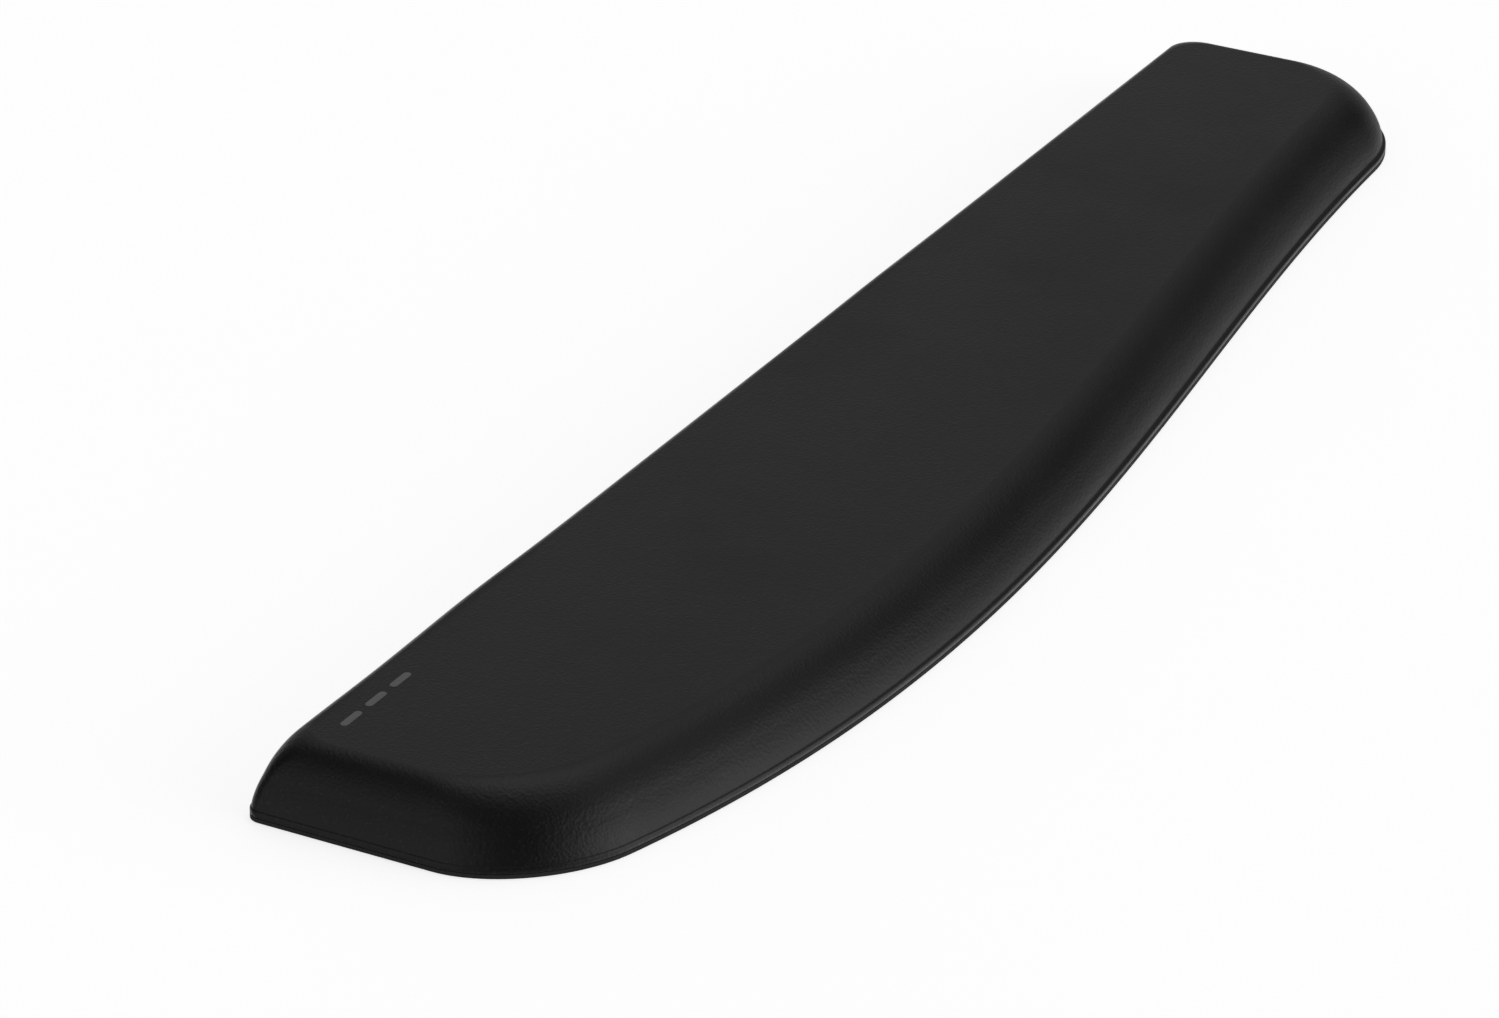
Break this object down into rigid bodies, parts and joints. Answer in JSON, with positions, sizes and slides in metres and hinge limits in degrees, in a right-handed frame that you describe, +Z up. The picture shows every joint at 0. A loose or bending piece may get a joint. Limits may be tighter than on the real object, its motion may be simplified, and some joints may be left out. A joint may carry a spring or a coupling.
{
  "type": "keyboard wrist rest",
  "caption": "Low padded leatherette cushion with a straight edge for the keyboard, a curved edge for the hands and a rubber underside.",
  "frame": {"origin": "middle of the footprint, on the desk surface", "axes": "+X along the length to the narrower end, +Y to the keyboard, +Z up from the desk"},
  "size_m": [0.445, 0.0944, 0.017],
  "materials": {
    "leatherette": "satin",
    "grip_rubber": "matte",
    "adhesive": "satin",
    "board_plastic": "matte",
    "foam": "matte",
    "clear_film": "gloss",
    "gel": "satin",
    "grey_ink": "satin"
  },
  "bodies": {
    "root": {"grip_sheet": "grip_rubber", "base_glue_film": "adhesive", "base_board": "board_plastic", "foam_glue_film": "adhesive", "foam_core": "foam", "gel_lower_film": "clear_film", "gel_pad": "gel", "gel_upper_film": "clear_film", "cover_skin": "leatherette", "printed_mark": "grey_ink"}
  },
  "joints": []
}
